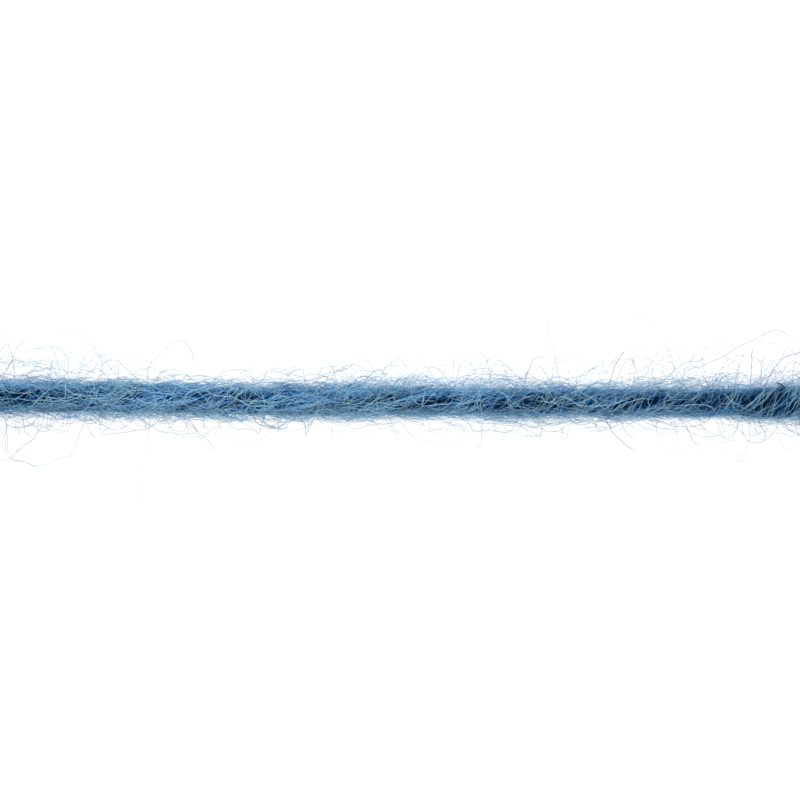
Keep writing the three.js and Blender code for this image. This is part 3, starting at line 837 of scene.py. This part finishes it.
# Pale hairs that lie across the top of the strand, each a path as seen from above
topHairs = [
    [(-29.8, 1.35), (-28.8, 0.9), (-28.3, 0.45), (-27.6, 0.15), (-26.9, -0.05)],
    [(-32.6, -0.05), (-31.4, 0.1), (-30.2, 0.05), (-29.2, -0.02), (-28, -0.05), (-26.8, -0.05), (-26.3, -0.3),
        (-25.6, -0.45), (-25.2, -0.1), (-24.9, 0.3)],
    [(-26.9, 1.15), (-26.6, 0.8), (-26.1, 0.55), (-25.6, 0.35), (-25.3, 0)],
    [(-26.8, 1.3), (-26.65, 0.7), (-26.7, 0.2), (-27, -0.2)],
    [(-26.8, -0.1), (-26, 0.1), (-25.4, 0.35), (-24.8, 0.1), (-24.2, 0.1), (-23.2, 0.2)],
    [(-25.1, 1.3), (-24.6, 0.8), (-24.4, 0.5), (-24.1, 0.1), (-23.9, -0.2), (-23.5, -0.6)],
    [(-24.3, 1.4), (-24.45, 0.9), (-24.7, 0.5), (-24.6, 0.1), (-24.9, -0.5)],
    [(-23.9, 1.1), (-24.2, 0.5), (-24, 0), (-23.5, -0.3), (-22.6, -0.5)],
    [(-28.7, -0.6), (-28.4, -0.1), (-28, 0.2), (-27.8, -0.2), (-27.9, -0.6)],
    [(-29.3, 0), (-28.6, -0.3), (-28.3, -0.5), (-27.6, -0.2), (-26.9, 0.1)],
    [(-22.2, -0.8), (-21.6, -0.35), (-21.2, -0.05), (-20.4, 0.15)],
    [(-22.4, 0.4), (-21.4, 0.75), (-20.6, 0.75), (-19.8, 0.6), (-18.8, 0.55), (-17.8, 0.45), (-16.6, 0.6)],
    [(-17, 0.55), (-16.2, 0.8), (-15.6, 0.75), (-15.2, 0.5), (-14.6, 0.35), (-13.8, 0.3), (-13.2, 0.2),
        (-12.7, -0.1), (-12.2, -0.4), (-11.4, -0.5), (-10.2, -0.5)],
    [(-17.6, -0.5), (-16.8, -0.1), (-16.2, 0.1), (-15.6, 0.35), (-14.8, 0.7)],
    [(-15.2, 0.2), (-15.4, -0.3), (-14.7, -0.6)],
    [(-14.7, -0.7), (-14.2, 0), (-13.8, 0.5), (-13.4, 1.1)],
    [(-10.7, -0.2), (-10, 0.3), (-9.4, 0.7), (-9.1, 1.2)],
    [(-9.4, 0.3), (-8.6, 0), (-7.8, -0.15), (-7, -0.05), (-6.4, -0.1), (-5.6, 0.1)],
    [(-4.8, 0), (-4.2, -0.25), (-3.6, -0.4), (-3.1, -0.2), (-2.7, 0.1), (-2.5, 0.6), (-2.3, 1.4)],
    [(-3.2, -1), (-2.6, -0.5), (-2.1, -0.1), (-1.6, 0.4)],
    [(-2.6, -0.5), (-1.9, -0.75), (-1.4, -0.7), (-1, -1), (-0.6, -1.4)],
    [(-1.9, 0), (-1.8, -0.7), (-2.1, -1.3)],
    [(-2.8, -1), (-2, -0.7), (-1.2, -0.3)],
    [(0, 0.5), (0.5, 1), (0.9, 0.7), (1, 0.1), (1.3, -0.2), (1.7, -0.35), (1.9, 0.1), (1.6, 0.5)],
    [(1.1, -0.1), (1.6, 0.3), (2.2, 0.4), (3.4, 0.3)],
    [(1.8, -0.5), (3, -0.35), (4.2, -0.25), (5.2, -0.3), (6.1, 0)],
    [(6.5, 0.9), (6.3, 0.3), (6.1, 0), (6.2, -0.4), (6.6, -1)],
    [(5.7, -0.7), (6.2, -0.1), (6.5, 0.4), (7, 0.9)],
    [(10.8, -0.1), (11.2, 0.35), (11.5, 0.1), (11.6, -0.2), (12.2, -0.05), (12.5, 0.4)],
    [(12, -0.5), (12.8, 0), (13.3, 0.15), (13.8, -0.1), (14.3, -0.4), (15.2, -0.5), (16.2, -0.45),
        (17.2, -0.2), (18.4, 0.1)],
    [(12.9, 0.3), (13.6, 0.1), (14.1, -0.3), (14.8, -0.7)],
    [(15.7, -1.1), (16.6, -0.6), (17.4, -0.2), (18, 0.1), (19, 0.4)],
    [(16.8, -1.3), (17.2, -0.7), (17.7, -0.35), (18.6, -0.05), (19.3, 0.1), (20.2, 0.1)],
    [(18.2, -0.1), (17.7, -0.7), (18.2, -1.1), (19.2, -1.2)],
    [(19.4, -1.1), (19.9, -0.6), (19.8, -0.2), (20.1, 0.3)],
    [(21.1, -0.4), (21.6, -0.9), (22.4, -1.25)],
    [(21.2, 0.8), (21.5, 0.2), (22, 0.3), (22.4, 0.8)],
    [(22.4, -0.5), (23.4, -0.35), (24.4, -0.4), (24.9, -0.6), (25.2, -1)],
    [(25.6, -1), (26, -0.6), (26.3, -0.2), (26.6, 0.2), (27, 0.9), (27.3, 1.5)],
    [(27, -1), (26.6, -0.4), (26.5, 0.2), (26.6, 1.1)],
    [(25.7, 0.9), (26.3, 0), (26.8, -0.3), (27.6, -0.7)],
    [(27.2, -0.8), (27.9, -0.3), (28.4, 0.1), (28.9, 0.5), (29.4, 0.9)],
    [(28.2, -0.7), (29, 0), (29.6, 0.6), (30, 1)],
    [(29.4, -0.9), (30.2, -0.5), (30.9, 0.1)],
    [(30.5, -1.3), (31.2, -0.8), (31.5, -0.3), (32, 0.3)],
    [(31, -1.4), (31.6, -0.9), (32.3, -0.3)],
    [(33.4, 0.9), (34, 0.2), (35.2, -0.1), (36.2, -0.6)],
    [(34.4, -1), (35, -0.2), (36, 0.4), (37.4, 0.5)],
    [(-36.8, 0.8), (-35.8, 0.3), (-34.6, 0.2), (-33.8, -0.3)],
    [(-37.4, -0.5), (-36.2, -0.1), (-35, -0.5), (-33.6, -0.4)],
]
# How far off the surface roots and the hairs on top lie; the thickness of those on top steps on from
# each hair to the next
hairLay = dict(
    edge=0.97, root=-0.15, topEnds=-0.1, topLift=0.24, topThin=0.75, topSpread=0.5, topStep=0.618,
)

hairs = {
    "Step": 0.24 * mm, "Crimp": 0.40 * mm, "Crimp Length": 0.75 * mm, "Thickness": 0.0195 * mm,
    "Tone Low": 0.60, "Tone High": 1.05,
}


def hairGuide(name, rows):
    lines = []
    for number, (rise, width, path) in enumerate(rows):
        x, y = path[0]
        root = onStrand(x, bearingAbove(x, y, hairLay["edge"]), hairLay["root"])
        points = [root]
        for i, (x, y) in enumerate(path[1:], 1):
            share = i / (len(path) - 1)
            climb = share * (2 - share)  # steep at the root and level at the tip
            points.append(Vector((x, y, root.z + (rise - root.z) * climb)))
        lines.append(dict(points=points, fibre=float(number), share=width))
    return guideObject(name, lines, ("fibre", "share"))


def topGuide(name, paths):
    lines = []
    for number, path in enumerate(paths):
        points = []
        for i, (x, y) in enumerate(path):
            lift = hairLay["topLift" if 0 < i < len(path) - 1 else "topEnds"]
            points.append(Vector((x, y, onStrand(x, bearingAbove(x, y, hairLay["edge"]), lift).z)))
        share = hairLay["topThin"] + number * hairLay["topStep"] % hairLay["topSpread"]
        lines.append(dict(points=points, fibre=float(number), share=share))
    return guideObject(name, lines, ("fibre", "share"))


# The tip thins from this share of the length on, and the first share of it doesn't stray
hairShape = dict(tip=0.85, tipThins=0.5, still=0.2, noiseStep=7.3, seed=11)


def hairTree(values):
    board, given = geometryBoard("long hairs", values)
    lines = board.node("GeometryNodeMeshToCurve", None, {"Mesh": board.guide(given["Hairs"])})
    lines = board.node("GeometryNodeCurveSplineType", {"spline_type": "CATMULL_ROM"}, {"Curve": lines})
    lines = board.node("GeometryNodeResampleCurve", {"mode": "LENGTH"},
                       {"Curve": lines, "Length": given["Step"]})
    along = board.node("GeometryNodeSplineParameter", None, None, out="Factor")
    fibre = board.attribute("fibre")
    tone = board.node("FunctionNodeRandomValue", {"data_type": "FLOAT"},
                      {"Min": given["Tone Low"], "Max": given["Tone High"], "ID": fibre,
                       "Seed": hairShape["seed"]})
    tip = board.ease(along, hairShape["tip"], 1.0)
    lines = board.store(lines, "along", along)
    lines = board.store(lines, "tone", tone)
    width = given["Thickness"] * board.attribute("share") * (1 - tip * hairShape["tipThins"])
    lines = board.store(lines, "width", width)
    x, y, z = board.parts(board.node("GeometryNodeInputPosition"))
    wave = given["Crimp Length"]
    stray = board.vector(x / wave + fibre * hairShape["noiseStep"], y / wave, z / wave)
    dx, dy, dz = board.parts(board.noise(stray, detail=1.0, out="Color"))
    size = given["Crimp"] * board.ease(along, 0.0, hairShape["still"])
    z = board.maths("MAXIMUM", z + (dz - 0.5) * size, given["Thickness"])
    place = board.vector(x + (dx - 0.5) * size, y + (dy - 0.5) * size, z)
    lines = board.node("GeometryNodeSetPosition", None, {"Geometry": lines, "Position": place})
    tubes(board, given, lines)
    return board.tree


# Fibres cut off across both ends, which splay a little past the dense wool: some in its skin, which
# start further back and lie across each other, and the rest in its core. Depths are shares of the
# half width, and the skin's lean is that of a root leanRoot back.
cutEnds = dict(
    skin=460, skinRoots=(1.8, 6.0), skinDepth=(0.95, 1.07), skinLean=26, leanRoot=2, sink=0.2, sinkPower=6,
    core=360, coreRoot=1.3, coreDepth=0.95, coreLean=14,
    steps=4, tips=(-0.1, 0.55), splay=0.12, splayPower=8, thickness=(0.7, 1.3), seed=9,
)
surfaceHairs = dict(hairs, **{
    "Step": 0.18 * mm, "Crimp": 0.20 * mm, "Thickness": 0.0235 * mm, "Tone Low": 1.20, "Tone High": 2.00,
})
cutHairs = dict(hairs, **{
    "Step": 0.42 * mm, "Crimp": 0.16 * mm, "Thickness": 0.020 * mm, "Tone Low": 0.45, "Tone High": 1.20,
})


def makeCutEnds(name):
    look = cutEnds
    draw = random.Random(look["seed"])
    lines = []
    for number in range(look["skin"] + look["core"]):
        end = 1 if number % 2 else -1
        bearing = draw.uniform(-math.pi, math.pi)
        if number < look["skin"]:
            share = draw.uniform(*look["skinDepth"])
            root = draw.uniform(*look["skinRoots"])
            lean = math.radians(draw.gauss(0, look["skinLean"])) * root / look["leanRoot"]
            sink = look["sink"]
        else:
            share = math.sqrt(draw.random()) * look["coreDepth"]
            root = look["coreRoot"]
            lean = math.radians(draw.gauss(0, look["coreLean"]))
            sink = 0.0
        tip = draw.uniform(*look["tips"])
        points = []
        for i in range(look["steps"] + 1):
            step = i / look["steps"]
            x = end * (halfLength - root + (tip + root) * step)
            wound = bearing + math.radians(rowAt(end * (halfLength - root), "turn") - rowAt(x, "turn"))
            splay = look["splay"] * share * step ** look["splayPower"]
            depth = share - sink * (1 - step) ** look["sinkPower"] + splay
            points.append(onStrand(x, wound + lean * step, 0.0, depth))
        lines.append(dict(points=points, fibre=float(number), share=draw.uniform(*look["thickness"])))
    return guideObject(name, lines, ("fibre", "share"))


# A sliver of straw that was spun into the wool
flecks = [
    (2.3, 1.0, [(30.85, 1), (30.45, 1.2), (30, 1.36)]),
]
fleckHairs = dict(hairs, **{
    "Step": 0.12 * mm, "Crimp": 0.02 * mm, "Thickness": 0.07 * mm, "Tone Low": 0.4, "Tone High": 0.6,
})
strawLook = dict(
    stops=[(0.0, (0.020, 0.030, 0.020)), (0.5, (0.050, 0.075, 0.050)), (1.0, (0.120, 0.150, 0.100))],
    mottle=1.0, mottlesPerMetre=6000, grainsPerMetre=16000, partingPaintedShade=0.0,
    roughness=0.6, roughnessSpread=0.3, bump=0.5, bumpHeight=0.02 * mm, gloss=0.2,
)

straw = woolMaterial("straw", strawLook)
cutCount = cutEnds["skin"] + cutEnds["core"]

longHairs = [
    ("fuzz_far_long", hairGuide("far_guide", farHairs), hairs, len(farHairs), looseWool),
    ("fuzz_near_long", hairGuide("near_guide", nearHairs), hairs, len(nearHairs), looseWool),
    ("strand_top", topGuide("top_guide", topHairs), surfaceHairs, len(topHairs), fibreWool),
    ("strand_ends", makeCutEnds("ends_guide"), cutHairs, cutCount, fuzzWool),
    ("strand_fleck", hairGuide("fleck_guide", flecks), fleckHairs, len(flecks), straw),
]
longTree = None
guides = [route, parted]
for name, guide, numbers, count, material in longHairs:
    guides.append(guide)
    columns = math.ceil(math.sqrt(count))
    values = {"Hairs": guide, **numbers, "Columns": columns, "Material": material}
    longTree = longTree or hairTree(values)
    grown[name] = grow(name, longTree, values)


# A plain white table lit from within, as for a catalogue picture, and soft light from above
white = (1.0, 1.0, 1.0, 1.0)
studio = dict(
    floorSize=4.0, floorColour=(0.12, 0.12, 0.12, 1.0), roughness=0.9, gloss=0.1, glow=1.0, sky=0.15,
)
softboxes = [
    dict(place=(-0.10, 0.55, 0.38), size=0.30, power=4.8),
    dict(place=(0.05, -0.50, 0.35), size=0.30, power=1.6),
]


def makeStudio():
    half = studio["floorSize"] / 2
    corners = [(-half, -half, 0), (half, -half, 0), (half, half, 0), (-half, half, 0)]
    mesh = bpy.data.meshes.new("floor")
    mesh.from_pydata(corners, [], [(0, 1, 2, 3)])
    floor = bpy.data.objects.new("floor", mesh)
    bpy.context.scene.collection.objects.link(floor)
    material = bpy.data.materials.new("white_table")
    material.use_nodes = True
    material.node_tree.nodes.clear()
    board = Board(material.node_tree)
    surface = board.node("ShaderNodeBsdfPrincipled", None, {
        "Base Color": studio["floorColour"], "Roughness": studio["roughness"],
        "Specular IOR Level": studio["gloss"], "Emission Color": white, "Emission Strength": studio["glow"]})
    board.node("ShaderNodeOutputMaterial", None, {"Surface": surface})
    mesh.materials.append(material)

    world = bpy.data.worlds.new("studio")
    world.use_nodes = True
    background = world.node_tree.nodes["Background"]
    background.inputs["Color"].default_value = white
    background.inputs["Strength"].default_value = studio["sky"]
    bpy.context.scene.world = world
    for i, box in enumerate(softboxes):
        data = bpy.data.lights.new(f"softbox_{i}", "AREA")
        data.size = box["size"]
        data.energy = box["power"]
        lamp = bpy.data.objects.new(f"softbox_{i}", data)
        lamp.location = box["place"]
        lamp.rotation_euler = (-Vector(box["place"])).to_track_quat("-Z", "Y").to_euler()
        bpy.context.scene.collection.objects.link(lamp)
    bpy.context.scene.view_settings.view_transform = "Standard"


makeStudio()
print("studio lit")

for guide in guides:
    bpy.data.objects.remove(guide)

for name, piece in grown.items():
    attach(piece, "root")
    if name.startswith("strand"):
        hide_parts("strand")
    elif name.startswith("fuzz_far"):
        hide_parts("fuzz_far")
    else:
        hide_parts("fuzz_near")

cordStops = [-halfLength + i * rowStep for i in range(len(lie["y"]))]
cordPath = [Vector((x, rowAt(x, "y"), rowAt(x, "height"))) * mm for x in cordStops]
